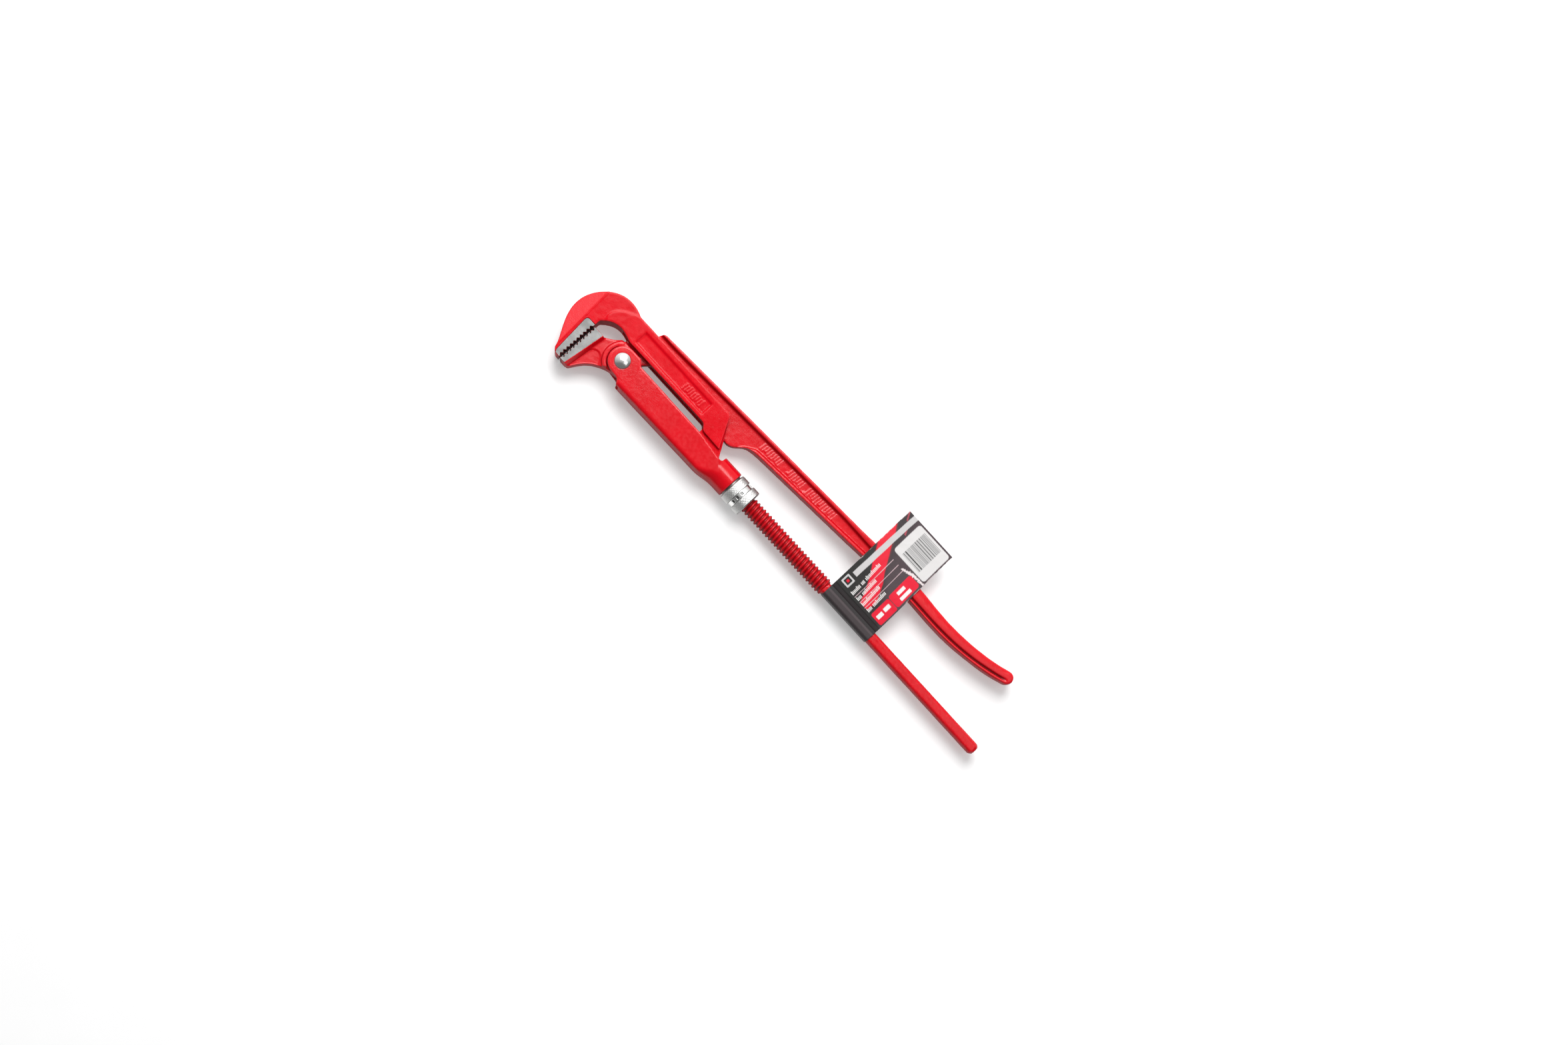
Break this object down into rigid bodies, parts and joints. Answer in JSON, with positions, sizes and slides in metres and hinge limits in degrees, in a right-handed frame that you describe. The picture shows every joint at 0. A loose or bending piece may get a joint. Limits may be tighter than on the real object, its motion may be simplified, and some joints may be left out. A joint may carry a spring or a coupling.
{
  "type": "pipe wrench",
  "caption": "Right-angle pipe wrench with two long handles, a toothed hook jaw, a pivoting lower jaw and a knurled nut on a threaded spindle that sets the opening.",
  "frame": {"origin": "middle of the underside of the whole wrench, lying on its side with the rivet's domed head up", "axes": "+X along the spindle towards the jaws, +Y towards the open side of the mouth, +Z along the pivot axis, up"},
  "size_m": [0.419, 0.1096, 0.0239],
  "materials": {
    "red_hook": "glossy powder coat over a forging",
    "red_jaw": "glossy powder coat over a forging",
    "red_sleeve": "glossy powder coat on pressed sheet",
    "satin_steel": "satin, knurled",
    "bright_steel": "smooth, polished",
    "printed_card": "laminated printed card"
  },
  "bodies": {
    "hook_lever": {"hook_lever": "red_hook", "sales_tag": "printed_card"},
    "sleeve": {"sleeve": "red_sleeve", "sleeve_collar": "bright_steel", "pivot_rivet": "bright_steel"},
    "jaw_lever": {"jaw_lever": "red_jaw"},
    "adjusting_nut": {"adjusting_nut": "satin_steel", "nut_ring": "bright_steel"}
  },
  "joints": [
    {"name": "sleeve_slide", "type": "slide", "parent": "hook_lever", "child": "sleeve", "axis": [-1, 0, 0], "range_m": [0, 0.052]},
    {"name": "jaw_pivot", "type": "hinge", "parent": "sleeve", "child": "jaw_lever", "pos_m": [0.1569, 0.02398, 0.01095], "axis": [0, 0, 1], "range_deg": [0, 28]},
    {"name": "nut_spin", "type": "hinge", "parent": "sleeve", "child": "adjusting_nut", "pos_m": [0.0329, 0.02568, 0.01095], "axis": [-1, 0, 0], "range_deg": [0, 6300]}
  ],
  "couplings": [
    {"joint": "nut_spin", "follows": "sleeve_slide", "rad_per_m": 2094.4}
  ]
}
